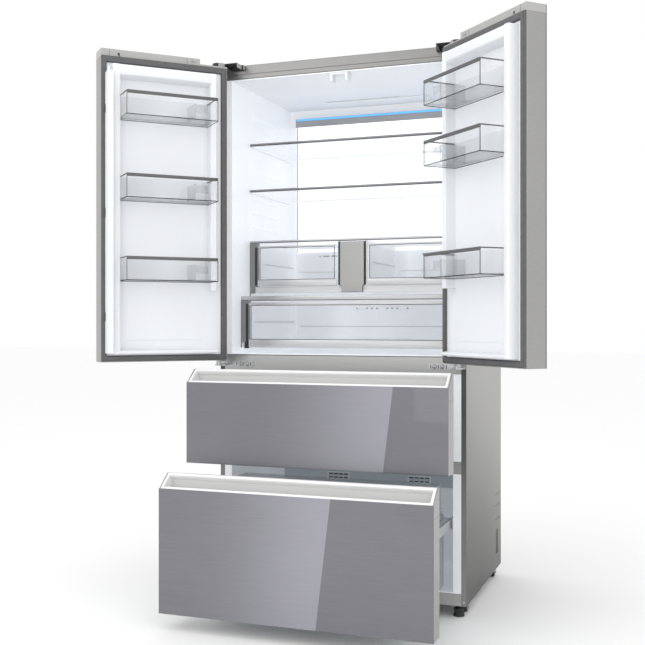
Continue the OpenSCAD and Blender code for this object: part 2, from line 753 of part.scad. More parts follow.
member_gap = 0.5;
low_slide_z = [step_z - 12 - slide_h, step_z - 12];
mid_slide_z = [mid_floor + 80, mid_floor + 80 + slide_h];
slide_y0 = 12;
low_slide_y1 = bay_y - 12;
link_inset = 4;
drawer_inset = 8;
mid_slide_y1 = in_d - 40;

module slide(i, y, z, inset) both() box(slide_x(i), y, [z[0] + inset, z[1] - inset]);

module fixed_slides() color("gainsboro") {
    slide(0, [slide_y0, low_slide_y1], low_slide_z, 0);
    slide(0, [slide_y0, mid_slide_y1], mid_slide_z, 0);
}

// Tub that hangs from the drawer's slides by its rim
module hung_tub(x, y, z, slide_top) {
    tub([-x, x], y, z, bin_t, 12);
    both() box([x - 1, slide_x(2)[1]], [y[0] + 20, y[1] - 20], [slide_top, slide_top + rim_t]);
}

rim_t = 4;
basket_x = in_w - 40;
module middle_basket() color("aliceblue")
    hung_tub(basket_x, [back_y + liner_t + 1, in_d - 60], [mid_floor + 12, mid_ceil - 60],
        mid_slide_z[1] - drawer_inset);

module lower_bin() color("lightsteelblue")
    hung_tub(basket_x, [back_y + liner_t + 1, bay_y - 16], [low_floor + 10, bin_top],
        low_slide_z[1] - drawer_inset);

// Shallow tray that slides back on runners along the deep bin's side walls
bin_top = step_z - 8;
tray_z0 = bin_top + 14;
tray_z1 = low_ceil - 34;
tray_y = [30, in_d - 170];
module lower_tray() color("aliceblue") {
    tub([-basket_x + 4, basket_x - 4], tray_y, [tray_z0, tray_z1], bin_t, 12);
    both() box([basket_x - 8, basket_x + 2], [tray_y[0] + 15, tray_y[1] - 15],
        [bin_top + seam, tray_z0 + 2]);
}

// ---------------------------------------------------------------- feet and rollers

// Levelling foot: broad base, grip collar and threaded stem
module foot() {
    translate([foot_x, foot_y, 0]) rotate_extrude() polygon([[0, 0], [foot_r, 0], [foot_r, 4],
        [foot_r - 4, 13], [foot_r - 3, 15], [foot_r - 1, 24], [foot_r - 4, 28], [stem_r, 29],
        [stem_r, clear_h + 26], [0, clear_h + 26]]);
}

module roller_pair(i) both() {
    translate([roller_x - roller_w, roller_y[i], roller_z[i]]) rotate([0, 90, 0]) rotate_extrude()
        polygon([[0, 0], [roller_r - 2, 0], [roller_r, 2], [roller_r, roller_w - 2],
            [roller_r - 2, roller_w], [0, roller_w]]);
    axle(axle_r, [roller_x - roller_w - 4.5, roller_x + 4.5], roller_y[i], roller_z[i]);
}

// ---------------------------------------------------------------- nodes

put() mirror([1, 0, 0]) side_panel();  // left_side_panel
put() side_panel();  // right_side_panel
put() top_panel();
put() rear_panel();
put() compressor_cover();
put() base_tray();
put() front_frame();
put() fridge_liner();
put() freezer_liner();
put() foam_fill();
put() duct_panel();
put() freezer_duct();
put() strip_guide();
put() ceiling_lamp();
put() glass_shelves();
put() drawer_frame();
put() compressor();
put() evaporator();
put() top_hinges();
put() hinge_covers();
put() middle_hinges();
put() fixed_slides();
put() fan();
put() mirror([1, 0, 0]) small_drawer();  // left_crisper
put() small_drawer();  // right_crisper
put() water_tank();
put() wide_drawer();
put() mirror([1, 0, 0]) color("black") foot();  // left_foot
put() color("black") foot();  // right_foot
put() color("black") roller_pair(0);  // front_rollers
put() color("black") roller_pair(1);  // rear_rollers
mid_drawer() front_glass(mid_z0, mid_face_z1);  // middle_glass
mid_drawer() front_handle(mid_face_z1);  // middle_handle
mid_drawer() front_core(mid_z0, mid_face_z1);  // middle_core
mid_drawer() drawer_gasket(mid_z0 + 2, mid_z1 - 3);  // middle_gasket
mid_drawer() middle_basket();
mid_drawer() color("silver") slide(2, [back_y + liner_t, mid_slide_y1], mid_slide_z, drawer_inset);  // middle_slides
put() translate([0, -mid_out / 2, 0])  // middle_slide_links
    color("gray") slide(1, [slide_y0, mid_slide_y1], mid_slide_z, link_inset);
low_drawer() front_glass(low_z0, low_face_z1);  // lower_glass
low_drawer() front_handle(low_face_z1);  // lower_handle
low_drawer() front_core(low_z0, low_face_z1);  // lower_core
low_drawer() drawer_gasket(low_z0 + 7, low_z1 - 3);  // lower_gasket
low_drawer() lower_bin();
low_drawer() lower_tray();
low_drawer() color("silver") slide(2, [back_y + liner_t, low_slide_y1], low_slide_z, drawer_inset);  // lower_slides
put() translate([0, -low_out / 2, 0])  // lower_slide_links
    color("gray") slide(1, [slide_y0, low_slide_y1], low_slide_z, link_inset);
left_door() door_glass();  // left_door_glass
left_door() door_body();  // left_door_body
left_door() door_cap();  // left_door_cap
left_door() door_liner();  // left_door_liner
left_door() door_gasket();  // left_door_gasket
left_door() door_bins(bin_share_left);  // left_door_bins
left_door() centre_strip();
left_door() strip_hinges();
right_door() door_glass();  // right_door_glass
right_door() door_body();  // right_door_body
right_door() door_cap();  // right_door_cap
right_door() door_liner();  // right_door_liner
right_door() door_gasket();  // right_door_gasket
right_door() door_bins(bin_share_right);  // right_door_bins
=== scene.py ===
import json
import math

import bmesh
import bpy
from bpy.props import FloatProperty, FloatVectorProperty, PointerProperty
from mathutils import Matrix, Vector


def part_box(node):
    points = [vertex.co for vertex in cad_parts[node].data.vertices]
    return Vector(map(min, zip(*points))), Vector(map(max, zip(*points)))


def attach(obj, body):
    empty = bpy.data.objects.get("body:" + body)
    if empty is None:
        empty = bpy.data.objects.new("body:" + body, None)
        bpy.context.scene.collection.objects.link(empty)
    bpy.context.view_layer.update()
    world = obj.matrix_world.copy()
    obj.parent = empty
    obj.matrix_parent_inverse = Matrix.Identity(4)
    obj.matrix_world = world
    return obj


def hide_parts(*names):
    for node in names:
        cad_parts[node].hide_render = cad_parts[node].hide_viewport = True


bl_info = {
    "name": "French Door Refrigerator",
    "version": (1, 0, 0),
    "blender": (4, 5, 0),
    "location": "3D View > Sidebar > Refrigerator",
    "description": "Finishes and fine parts of a french door refrigerator around its packed frame",
    "category": "Object",
}

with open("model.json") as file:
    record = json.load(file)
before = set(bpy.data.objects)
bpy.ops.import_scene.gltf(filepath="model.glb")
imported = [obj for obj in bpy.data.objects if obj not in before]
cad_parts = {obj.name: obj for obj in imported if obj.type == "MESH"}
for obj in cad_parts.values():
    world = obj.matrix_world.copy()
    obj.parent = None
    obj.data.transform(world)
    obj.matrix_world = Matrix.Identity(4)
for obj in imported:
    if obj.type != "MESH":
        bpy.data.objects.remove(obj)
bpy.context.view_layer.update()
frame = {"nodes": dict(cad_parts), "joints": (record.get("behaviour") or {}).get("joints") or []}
NODES = frame["nodes"]
JOINTS = {joint["name"]: joint for joint in frame["joints"]}
UP = Vector((0, 0, 1))


# ---------------------------------------------------------------- sizes and colours

def length(name, description, default):
    return FloatProperty(name=name, description=description, default=default, min=0.0,
                         subtype="DISTANCE", unit="LENGTH")


def colour(name, description, default):
    return FloatVectorProperty(name=name, description=description, default=default, size=3,
                               min=0.0, max=1.0, subtype="COLOR")


class FridgeSizes(bpy.types.PropertyGroup):
    """Sizes of the fine parts"""
    wall: length("Tub wall", "Wall of the clear tubs and bins", 0.0025)
    corner: length("Tub corner", "Corner radius of the clear tubs and bins", 0.008)
    rail: length("Rail height", "Height of the grey rail on a door bin", 0.011)
    line: length("Edge line", "Width of the dark edge lines on clear parts", 0.0024)
    crisp: length("Crisp edge", "Rounding of folded metal edges", 0.0012)
    moulded: length("Liner edge", "Rounding of the door liners' ridges", 0.006)
    screw: length("Screw radius", "Radius of the hinge screws", 0.006)
    rib: length("Wall rib", "How far the ribs of the liner stand out", 0.003)
    lens: FloatProperty(name="Lens", description="Focal length of the camera in millimetres",
                        default=55.9, min=10.0, max=200.0)
    distance: length("Camera distance", "From the cabinet's front to the camera", 3.2802)
    side: length("Camera side", "How far right of the centre the camera stands", 1.141)
    height: length("Camera height", "Height of the camera above the floor", 0.9828)
    turn: FloatProperty(name="Camera turn", description="Turn of the camera about the vertical",
                        default=math.radians(20.07), subtype="ANGLE", unit="ROTATION")


class FridgeColours(bpy.types.PropertyGroup):
    """Colours of the finishes"""
    front: colour("Front", "Brushed steel under the glass of the fronts", (0.158, 0.156, 0.178))
    side: colour("Side", "Painted steel of the cabinet's sides", (0.36, 0.357, 0.350))
    trim: colour("Trim", "Brushed steel of the rails and the doors' edges", (0.37, 0.367, 0.361))
    liner: colour("Liner", "White plastic of the liners", (0.83, 0.845, 0.87))
    handle: colour("Handle", "Light frame of the handle channel", (0.88, 0.88, 0.875))
    pocket: colour("Pocket", "Inside of the handle channel", (0.68, 0.68, 0.675))
    seal: colour("Seal", "Door and drawer gaskets", (0.105, 0.105, 0.107))
    clear: colour("Clear plastic", "Clear tubs and bins", (0.84, 0.87, 0.91))
    freezer: colour("Freezer", "Rear covers and bins of the freezer", (0.34, 0.375, 0.395))
    smoke: colour("Smoke", "Grey tinted floors of the bins", (0.55, 0.58, 0.60))
    line: colour("Edge line", "Dark lines on clear parts", (0.022, 0.023, 0.025))
    silver: colour("Silver trim", "Silver trims of shelves and drawers", (0.50, 0.505, 0.51))
    tank: colour("Tank front", "Brushed front of the water tank", (0.36, 0.358, 0.354))
    led: colour("Light strip", "Light strip over the duct cover", (0.10, 0.40, 0.85))
    floor: colour("Floor", "Studio floor", (0.97, 0.97, 0.97))


def sizes():
    return bpy.context.scene.fridge_sizes


def colours():
    return bpy.context.scene.fridge_colours


# ---------------------------------------------------------------- shader writing

class Value:
    """A socket that takes part in Python arithmetic: each step adds a Math node."""

    def __init__(self, shader, socket):
        self.shader = shader
        self.socket = socket

    def join(self, operation, *operands):
        return self.shader.add("ShaderNodeMath", {"operation": operation},
                               dict(enumerate(operands)))

    def __add__(self, other):
        return self.join("ADD", self, other)

    __radd__ = __add__

    def __sub__(self, other):
        return self.join("SUBTRACT", self, other)

    def __mul__(self, other):
        return self.join("MULTIPLY", self, other)

    def __lt__(self, other):
        return self.join("LESS_THAN", self, other)

    def out(self, name):
        return Value(self.shader, self.socket.node.outputs[name])


class Shader:
    """A material under construction around one Principled shader."""

    def __init__(self, name, **constants):
        self.material = bpy.data.materials.new(name)
        self.material.use_nodes = True
        self.nodes = self.material.node_tree.nodes
        self.links = self.material.node_tree.links
        self.surface = self.nodes["Principled BSDF"]
        for key, value in constants.items():
            self.set(key.replace("_", " ").title().replace("Ior", "IOR"), value)

    def set(self, name, value):
        """Puts a constant, or the result of an expression, into a socket of the surface."""
        socket = self.surface.inputs[name]
        if isinstance(value, Value):
            self.links.new(value.socket, socket)
        else:
            socket.default_value = (*value, 1) if isinstance(value, (tuple, list)) else value
        return self

    def add(self, kind, settings=None, inputs=None):
        """Adds a node: its settings first, then the values or links of its sockets."""
        node = self.nodes.new(kind)
        for key, value in (settings or {}).items():
            setattr(node, key, value)
        for key, value in (inputs or {}).items():
            if isinstance(value, Value):
                self.links.new(value.socket, node.inputs[key])
            else:
                node.inputs[key].default_value = value
        return Value(self, node.outputs[0])

    def place(self, scale=(1, 1, 1), turn=0.0):
        """The point on the object, turned about the vertical and stretched."""
        point = self.add("ShaderNodeTexCoord").out("Object")
        turned = self.add("ShaderNodeMapping", {}, {"Vector": point, "Rotation": (0, 0, turn)})
        return self.add("ShaderNodeMapping", {}, {"Vector": turned, "Scale": scale})

    def noise(self, scale, stretch=(1, 1, 1), detail=3.0, turn=0.0):
        return self.add("ShaderNodeTexNoise", {},
                        {"Vector": self.place(stretch, turn), "Scale": scale, "Detail": detail})

    def blend(self, factor, first, second):
        mix = self.add("ShaderNodeMix", {"data_type": "RGBA"}, {0: factor})
        mix_node = mix.socket.node
        for key, value in ((6, first), (7, second)):
            if isinstance(value, Value):
                self.links.new(value.socket, mix_node.inputs[key])
            else:
                mix_node.inputs[key].default_value = (*value, 1)
        return Value(self, mix_node.outputs[2])

    def bump(self, height, strength, distance=0.0005):
        node = self.add("ShaderNodeBump", {},
                        {"Height": height, "Strength": strength, "Distance": distance})
        return self.set("Normal", node)


def shade(rgb, factor):
    return tuple(min(1.0, channel * factor) for channel in rgb)


# Emission strengths that stand in for the lights inside the compartments
WALL_GLOW = 0.22
RIB_GLOW = 0.24
CEILING_GLOW = 0.07
FREEZER_GLOW = 0.12
COVER_GLOW = 0.20
DUCT_GLOW = 0.7

FINISHES = {}


def finish(build):
    """Keeps each finish, so that it is made once."""
    def keep(*choices):
        key = (build.__name__, choices)
        if key not in FINISHES:
            FINISHES[key] = build(*choices)
        return FINISHES[key]
    return keep


@finish
def brushed_steel(turn=0.0, key="trim", darkness=1.0):
    """Steel brushed lengthwise, with fine streaks that change colour and gloss."""
    base = shade(getattr(colours(), key), darkness)
    shader = Shader("brushed_steel_" + key, metallic=0.75)
    streak = shader.noise(26.0, (0.35, 3.0, 38.0), 6.0, turn)
    cloud = shader.noise(2.2)
    tone = streak * 0.7 + cloud * 0.3
    shader.set("Base Color", shader.blend(tone, shade(base, 0.80), shade(base, 1.22)))
    shader.set("Roughness", 0.30 + streak * 0.16)
    return shader.bump(streak, 0.12, 0.0002).material


@finish
def painted_steel(key="side", darkness=1.0, shaded_at=0.02, lit_at=1.05):
    """Fine-grained satin paint with painted shade and painted light: darker towards one height and
    lighter towards another.
    """
    base = shade(getattr(colours(), key), darkness)
    shader = Shader("painted_steel_" + key, metallic=0.40, specular_ior_level=0.35)
    grain = shader.noise(1400.0, (1, 1, 1), 2.0)
    cloud = shader.noise(1.4)
    point = shader.add("ShaderNodeSeparateXYZ", {}, {"Vector": shader.place()})
    # Painted shade and light: this ramp over height and depth darkens the paint at one end and
    # lightens it at the other
    height = shader.add("ShaderNodeMapRange", {"interpolation_type": "SMOOTHERSTEP"},
                        {"Value": point.out("Z") + point.out("Y") * 0.45, "From Min": shaded_at,
                         "From Max": lit_at})
    # The ramp and the Z term are painted shade; cloud and grain are the paint's own uneven tone
    tone = height * 0.62 + point.out("Z") * 0.10 + cloud * 0.10 + grain * 0.12
    shader.set("Base Color", shader.blend(tone, shade(base, 0.08), shade(base, 1.28)))
    shader.set("Roughness", 0.34 + grain * 0.14)
    return shader.bump(grain, 0.10, 0.0002).material


# The painted reflection on the fronts, a bright band painted into the colour in place of a
# reflection in the glass: where it starts and ends across, and how it leans
PAINTED_REFLECTION_START = -0.25
PAINTED_REFLECTION_END = 0.373
PAINTED_REFLECTION_LEAN = 0.12
PAINTED_REFLECTION_DEPTH = 0.534


@finish
def steel_under_glass():
    """Horizontally brushed steel behind clear glass, with a painted reflection: a slanting bright
    band painted into its colour.
    """
    base = tuple(colours().front)
    shader = Shader("steel_under_glass", metallic=0.35, coat_weight=1.0, coat_roughness=0.03)
    streak = shader.noise(30.0, (0.30, 1.0, 30.0), 7.0)
    fine = shader.noise(160.0, (0.12, 1.0, 12.0), 2.0)
    cloud = shader.noise(2.0, (1.0, 1.0, 1.6))
    point = shader.add("ShaderNodeSeparateXYZ", {}, {"Vector": shader.place()})
    # Painted reflection: a bright band on one side of a slanting line, brightest near that line
    across = point.out("X") - point.out("Y") * PAINTED_REFLECTION_DEPTH - point.out("Z") * PAINTED_REFLECTION_LEAN
    painted_reflection_mask = across < PAINTED_REFLECTION_END
    glow = shader.add("ShaderNodeMapRange", {"interpolation_type": "SMOOTHSTEP"},
                      {"Value": across, "From Min": PAINTED_REFLECTION_START, "From Max": PAINTED_REFLECTION_END})
    # The last two terms are the painted reflection; streak, fine and cloud are the brushing's own
    # uneven tone
    tone = (streak * 0.24 + fine * 0.20 + cloud * 0.18 + painted_reflection_mask * 0.02
            + painted_reflection_mask * glow * glow * 0.62)
    shader.set("Base Color", shader.blend(tone, shade(base, 0.46), shade(base, 1.86)))
    shader.set("Roughness", 0.30 + streak * 0.15)
    return shader.bump(fine, 0.04, 0.0001).material


@finish
def moulded_plastic(key="liner", gloss=0.32, glow=0.0, darkness=1.0):
    """Vacuum-formed plastic with a soft, faintly uneven surface; glow is painted light, an
    emission that stands in for the light falling on it.
    """
    base = shade(getattr(colours(), key), darkness)
    shader = Shader("moulded_plastic_" + key, emission_strength=glow)
    wave = shader.noise(7.0, (1, 1, 0.4))
    grain = shader.noise(900.0, (1, 1, 1), 2.0)
    tint = shader.blend(wave * 0.7 + grain * 0.3, shade(base, 0.955), shade(base, 1.03))
    shader.set("Base Color", tint)
    shader.set("Emission Color", tint)
    shader.set("Roughness", gloss + grain * 0.12)
    return shader.bump(wave * 0.5 + grain * 0.2, 0.06, 0.0004).material


@finish
def clear_plastic(key="clear", cover=0.10, glow=0.0):
    """Clear moulded plastic, slightly clouded, with a glossy face; glow is painted light, an
    emission that makes it look lit from within.
    """
    base = tuple(getattr(colours(), key))
    shader = Shader("clear_plastic_" + key, alpha=cover, emission_strength=glow)
    cloud = shader.noise(9.0)
    tint = shader.blend(cloud, shade(base, 0.92), shade(base, 1.06))
    shader.set("Base Color", tint)
    shader.set("Emission Color", tint)
    shader.set("Roughness", 0.06 + cloud * 0.10)
    return shader.bump(cloud, 0.03, 0.0006).material


@finish
def rubber(key="seal", darkness=1.0):
    """Ribbed rubber with a dusty bloom."""
    base = shade(getattr(colours(), key), darkness)
    shader = Shader("rubber_" + key)
    bloom = shader.noise(55.0)
    grain = shader.noise(1500.0)
    shader.set("Base Color", shader.blend(bloom, shade(base, 0.78), shade(base, 1.3)))
    shader.set("Roughness", 0.62 + bloom * 0.2)
    return shader.bump(grain, 0.18, 0.0003).material


@finish
def satin_metal(key="silver", darkness=1.0, metal=0.8):
    """Plated or anodised metal with a fine grain along its length."""
    base = shade(getattr(colours(), key), darkness)
    shader = Shader("satin_metal_" + key, metallic=metal)
    streak = shader.noise(60.0, (0.2, 1.0, 9.0), 4.0)
    shader.set("Base Color", shader.blend(streak, shade(base, 0.82), shade(base, 1.22)))
    shader.set("Roughness", 0.26 + streak * 0.16)
    return shader.bump(streak, 0.06, 0.0002).material


@finish
def light_strip():
    """A diffuser lit from behind."""
    shader = Shader("light_strip", emission_strength=0.8, roughness=0.4)
    wave = shader.noise(18.0, (0.3, 1, 1))
    tint = shader.blend(wave, shade(colours().led, 0.9), shade(colours().led, 1.15))
    shader.set("Base Color", tint)
    shader.set("Emission Color", tint)
    return shader.material


@finish
def studio_floor():
    shader = Shader("studio_floor")
    wave = shader.noise(1.5)
    base = tuple(colours().floor)
    shader.set("Base Color", shader.blend(wave, shade(base, 0.99), shade(base, 1.01)))
    shader.set("Roughness", 0.75 + wave * 0.05)
    return shader.material


# ---------------------------------------------------------------- mesh building

def unique(items):
    """Each item once, in the order met, so that every run builds its meshes the same way."""
    return list(dict.fromkeys(items))


def block(bm, low, high):
    """Adds a sharp block and gives its vertices."""
    made = bmesh.ops.create_cube(bm, size=1.0)["verts"]
    low, high = Vector(low), Vector(high)
    bmesh.ops.scale(bm, vec=high - low, verts=made)
    bmesh.ops.translate(bm, vec=(low + high) / 2, verts=made)
    return made


def rounded(bm, edges, offset, segments=2):
    """Rounds edges of a bmesh and gives what the bevel returns."""
    return bmesh.ops.bevel(bm, geom=edges, offset=offset, offset_type="OFFSET",
                           segments=segments, profile=0.5, affect="EDGES", clamp_overlap=True,
                           material=-1)


def box_piece(bm, low, high, edge):
    """Adds a block with rounded edges."""
    made = block(bm, low, high)
    rounded(bm, unique(e for v in made for e in v.link_edges), edge)


def disc_piece(bm, centre, radius, depth, edge, axis=Vector((0, -1, 0))):
    """Adds a disc that stands out along axis, with its rim rounded."""
    turn = UP.rotation_difference(axis).to_matrix().to_4x4()
    made = bmesh.ops.create_cone(bm, cap_ends=True, segments=32, radius1=radius, radius2=radius,
                                 depth=depth, matrix=Matrix.Translation(centre) @ turn)["verts"]
    rims = [e for e in unique(e for v in made for e in v.link_edges)
            if any(len(f.verts) > 4 for f in e.link_faces)]
    rounded(bm, rims, edge)


def open_shell(bm, low, high, corner, is_open):
    """Adds a block without the faces that is_open picks, and rounds where its faces meet."""
    faces = unique(f for v in block(bm, low, high) for f in v.link_faces)
    gone = [f for f in faces if is_open(f)]
    kept = [f for f in faces if f not in gone]
    bmesh.ops.delete(bm, geom=gone, context="FACES_ONLY")
    bends = [e for e in unique(e for f in kept for e in f.edges) if len(e.link_faces) == 2]
    made = rounded(bm, bends, corner, 4)["faces"]
    return unique([*made, *(f for f in kept if f.is_valid)])


def tub_piece(bm, low, high, wall, corner):
    """Adds an open tub with a wall."""
    shell = open_shell(bm, low, high, corner, lambda f: f.normal.z > 0.5)
    bmesh.ops.recalc_face_normals(bm, faces=shell)
    bmesh.ops.solidify(bm, geom=shell, thickness=wall)


def band_piece(bm, low, high, wall, corner):
    """Adds an upright ring that follows a tub's outline."""
    shell = open_shell(bm, low, high, corner, lambda f: abs(f.normal.z) > 0.5)
    bmesh.ops.solidify(bm, geom=shell, thickness=wall)


def cad_copy(node):
    """A copy of a CAD node's mesh whose faces share their vertices."""
    bm = bmesh.new()
    bm.from_mesh(NODES[node].data)
    bmesh.ops.remove_doubles(bm, verts=bm.verts, dist=1e-6)
    return bm


def islands(node, matrix=Matrix.Identity(4)):
    """The boxes of a CAD node's separate solids, seen through matrix, lowest first."""
    bm = cad_copy(node)
    left, boxes = set(bm.verts), []
    while left:
        group, edge = set(), [left.pop()]
        while edge:
            vert = edge.pop()
            group.add(vert)
            for link in vert.link_edges:
                other = link.other_vert(vert)
                if other in left:
                    left.discard(other)
                    edge.append(other)
        points = [matrix @ v.co for v in group]
        boxes.append(tuple(Vector([pick(p[i] for p in points) for i in range(3)])
                           for pick in (min, max)))
    bm.free()
    return sorted(boxes, key=lambda box: (round(box[0].z, 4), round(box[0].x, 4)))


def piece(name, bm, body, material, edge=0.0, replaces=(), place=None, more=()):
    """Turns a bmesh into a finished piece that rides on a body."""
    if place is not None:
        bmesh.ops.transform(bm, matrix=place, verts=bm.verts)
        if place.determinant() < 0:
            bmesh.ops.reverse_faces(bm, faces=bm.faces)
    for face in bm.faces:
        face.smooth = True
    mesh = bpy.data.meshes.new(name)
    bm.to_mesh(mesh)
    bm.free()
    mesh.set_sharp_from_angle(angle=math.radians(35))
    made = bpy.data.objects.new(name, mesh)
    bpy.context.scene.collection.objects.link(made)
    for finish_material in (material, *more):
        mesh.materials.append(finish_material)
    if edge:
        soften(made, edge)
    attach(made, body)
    if replaces:
        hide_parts(*replaces)
    return made


def soften(made, edge):
    """Rounds the sharp edges of a piece."""
    bevel = made.modifiers.new("edge", "BEVEL")
    bevel.width = edge
    bevel.segments = 3
    bevel.limit_method = "ANGLE"
    bevel.angle_limit = math.radians(40)
    bevel.use_clamp_overlap = True
    bevel.harden_normals = True


def softened(node, body, material, edge, more=(), pick=None):
    """Replaces a CAD node by a copy with rounded edges; pick gives a face's material index."""
    bm = cad_copy(node)
    bmesh.ops.dissolve_limit(bm, angle_limit=math.radians(0.5), verts=bm.verts, edges=bm.edges)
    if pick is not None:
        for face in bm.faces:
            face.material_index = pick(face)
    return piece(node + "_finish", bm, body, material, edge, (node,), None, more)


def dress(node, material):
    """Gives a CAD node that is shown as it is its finish."""
    for socket in NODES[node].material_slots:
        socket.material = material
    if not NODES[node].material_slots:
        NODES[node].data.materials.append(material)


# ---------------------------------------------------------------- doors

def door_place(side):
    """From the closed left door's frame to where this door stands open."""
    joint = JOINTS["left_door_swing"]
    pivot = Matrix.Translation(joint["pos_m"])
    opened = math.radians(joint["range_deg"][0]) * -joint["axis"][2]
    left = pivot @ Matrix.Rotation(opened, 4, "Z") @ pivot.inverted()
    return left if side == "left" else Matrix.Scale(-1, 4, Vector((1, 0, 0))) @ left


def door_turn(side):
    angle = math.radians(JOINTS["left_door_swing"]["range_deg"][0])
    return -angle if side == "left" else angle


class FRIDGE_OT_doors(bpy.types.Operator):
    """Bodies, caps, liners, gaskets and glass of the two doors"""
    bl_idname = "fridge.doors"
    bl_label = "Doors"

    def execute(self, context):
        size = sizes()
        for side in ("left", "right"):
            body = side + "_door"
            turn = door_turn(side)
            softened(body + "_body", body, brushed_steel(turn, "trim", 0.93),
                     size.crisp)
            softened(body + "_cap", body, moulded_plastic("trim", 0.4, 0.0, 1.12),
                     size.crisp)
            self.cap_details(side, body)
            softened(body + "_liner", body, moulded_plastic(), size.moulded)
            softened(body + "_gasket", body, rubber(), size.crisp)
            softened(body + "_glass", body, steel_under_glass(), size.crisp)
            self.liner_details(side, body)
        return {"FINISHED"}

    def cap_details(self, side, body):
        """The cap's joint line at the free corner, a screw and a square locating boss."""
        place = door_place(side)
        low, high = islands(body + "_cap", place.inverted())[0]
        screw, lines = bmesh.new(), bmesh.new()
        disc_piece(screw, (high.x - 0.060, high.y - 0.0004, low.z + 0.010), 0.0042, 0.002,
                   0.0006, UP.cross(Vector((1, 0, 0))))
        joint = high.x - 0.030
        box_piece(lines, (joint, high.y - 0.0006, low.z + 0.001),
                  (joint + 0.0012, high.y + 0.0004, high.z - 0.001), 0.0002)
        box_piece(lines, (joint, low.y + 0.002, high.z - 0.0006),
                  (joint + 0.0012, high.y, high.z - 0.0001), 0.0002)
        for x in (low.x + 0.128, low.x + 0.146):
            box_piece(lines, (x, high.y - 0.0006, low.z + 0.003),
                      (x + 0.001, high.y + 0.0004, high.z - 0.003), 0.0002)
        piece(body + "_cap_screw", screw, body, satin_metal("line", 1.5, 0.3),
              place=place)
        piece(body + "_cap_lines", lines, body, rubber("seal", 1.1),
              place=place)

    def liner_details(self, side, body):
        """Snap ribs beside each bin and a stiffening bar pressed into the liner."""
        place = door_place(side)
        back = place.inverted()
        low, high = islands(body + "_liner", back)[0]
        bm = bmesh.new()
        for bin_low, bin_high in islands(body + "_bins", back):
            for x in (bin_low.x - 0.0065, bin_high.x + 0.0015):
                for step in (0.012, 0.040):
                    z = bin_low.z + step
                    box_piece(bm, (x, low.y + 0.002, z), (x + 0.005, high.y - 0.006, z + 0.012),
                              0.0015)
        middle = (low + high) / 2
        box_piece(bm, (middle.x - 0.13, low.y + 0.0026, low.z + 0.05),
                  (middle.x + 0.13, low.y + 0.0042, low.z + 0.052), 0.0006)
        piece(body + "_liner_ribs", bm, body, moulded_plastic(), place=place)


class FRIDGE_OT_bins(bpy.types.Operator):
    """Clear door bins with grey rails, dark edge lines and tinted floors"""
    bl_idname = "fridge.bins"
    bl_label = "Door bins"

    def execute(self, context):
        size = sizes()
        for side in ("left", "right"):
            body = side + "_door"
            place = door_place(side)
            boxes = islands(body + "_bins", place.inverted())
            walls, rails, lines, floors, clips = (bmesh.new() for _ in range(5))
            for low, high in boxes:
                outer = high - Vector((0, 0.002, 0))
                tub_piece(walls, low, outer, size.wall, size.corner)
                box_piece(rails, (low.x, outer.y - 0.004, high.z - size.rail),
                          (high.x, high.y, high.z), 0.0018)
                for x in (low.x, high.x - 0.003):
                    box_piece(rails, (x, low.y + 0.004, high.z - 0.004),
                              (x + 0.003, outer.y - 0.004, high.z), 0.001)
                band_piece(lines, (low.x - 0.0003, low.y, low.z),
                           (outer.x + 0.0003, outer.y + 0.0004, low.z + size.line), -0.0015,
                           size.corner)
                for x in (low.x - 0.0003, high.x + 0.0003 - size.line * 0.8):
                    box_piece(lines, (x, outer.y + 0.0004 - size.line, low.z + 0.001),
                              (x + size.line * 0.8, outer.y + 0.0004, high.z - size.rail), 0.0005)
                box_piece(floors, (low.x + 0.006, low.y + 0.006, low.z + size.wall),
                          (high.x - 0.006, outer.y - 0.006, low.z + size.wall + 0.002), 0.0008)
                reach = low.x + (high.x - low.x) * 0.24
                box_piece(clips, (reach, low.y + 0.012, low.z + 0.006),
                          (reach + 0.0025, outer.y - 0.012, high.z - 0.022), 0.001)
                box_piece(clips, (reach - 0.045, outer.y - 0.018, low.z + 0.028),
                          (reach, outer.y - 0.0155, high.z - 0.026), 0.001)
            piece(body + "_bin_walls", walls, body, clear_plastic(),
                  replaces=(body + "_bins",), place=place)
            piece(body + "_bin_rails", rails, body, satin_metal("silver", 0.22, 0.2),
                  place=place)
            piece(body + "_bin_lines", lines, body, satin_metal("line", 1.0, 0.0),
                  place=place)
            piece(body + "_bin_floors", floors, body, clear_plastic("smoke", 0.26),
                  place=place)
            piece(body + "_bin_clips", clips, body, clear_plastic("smoke", 0.18),
                  place=place)
        return {"FINISHED"}


class FRIDGE_OT_strip(bpy.types.Operator):
    """The folding centre strip and its brackets"""
    bl_idname = "fridge.strip"
    bl_label = "Folding strip"

    def execute(self, context):
        softened("centre_strip", "centre_strip", moulded_plastic("liner", 0.22),
                 sizes().crisp)
        softened("strip_hinges", "left_door", moulded_plastic("seal", 0.4),
                 sizes().crisp / 3)
        place = door_place("left")
        slots = bmesh.new()
        ridge = islands("left_door_liner", place.inverted())[0][1]
        for low, high in islands("strip_hinges", place.inverted()):
            box_piece(slots, (low.x - 0.0006, ridge.y - 0.0012, low.z - 0.008),
                      (low.x + 0.0032, ridge.y + 0.0004, high.z + 0.008), 0.0003)
        piece("strip_slots", slots, "left_door", satin_metal("silver", 0.7, 0.2),
              place=place)
        return {"FINISHED"}


# ---------------------------------------------------------------- cabinet

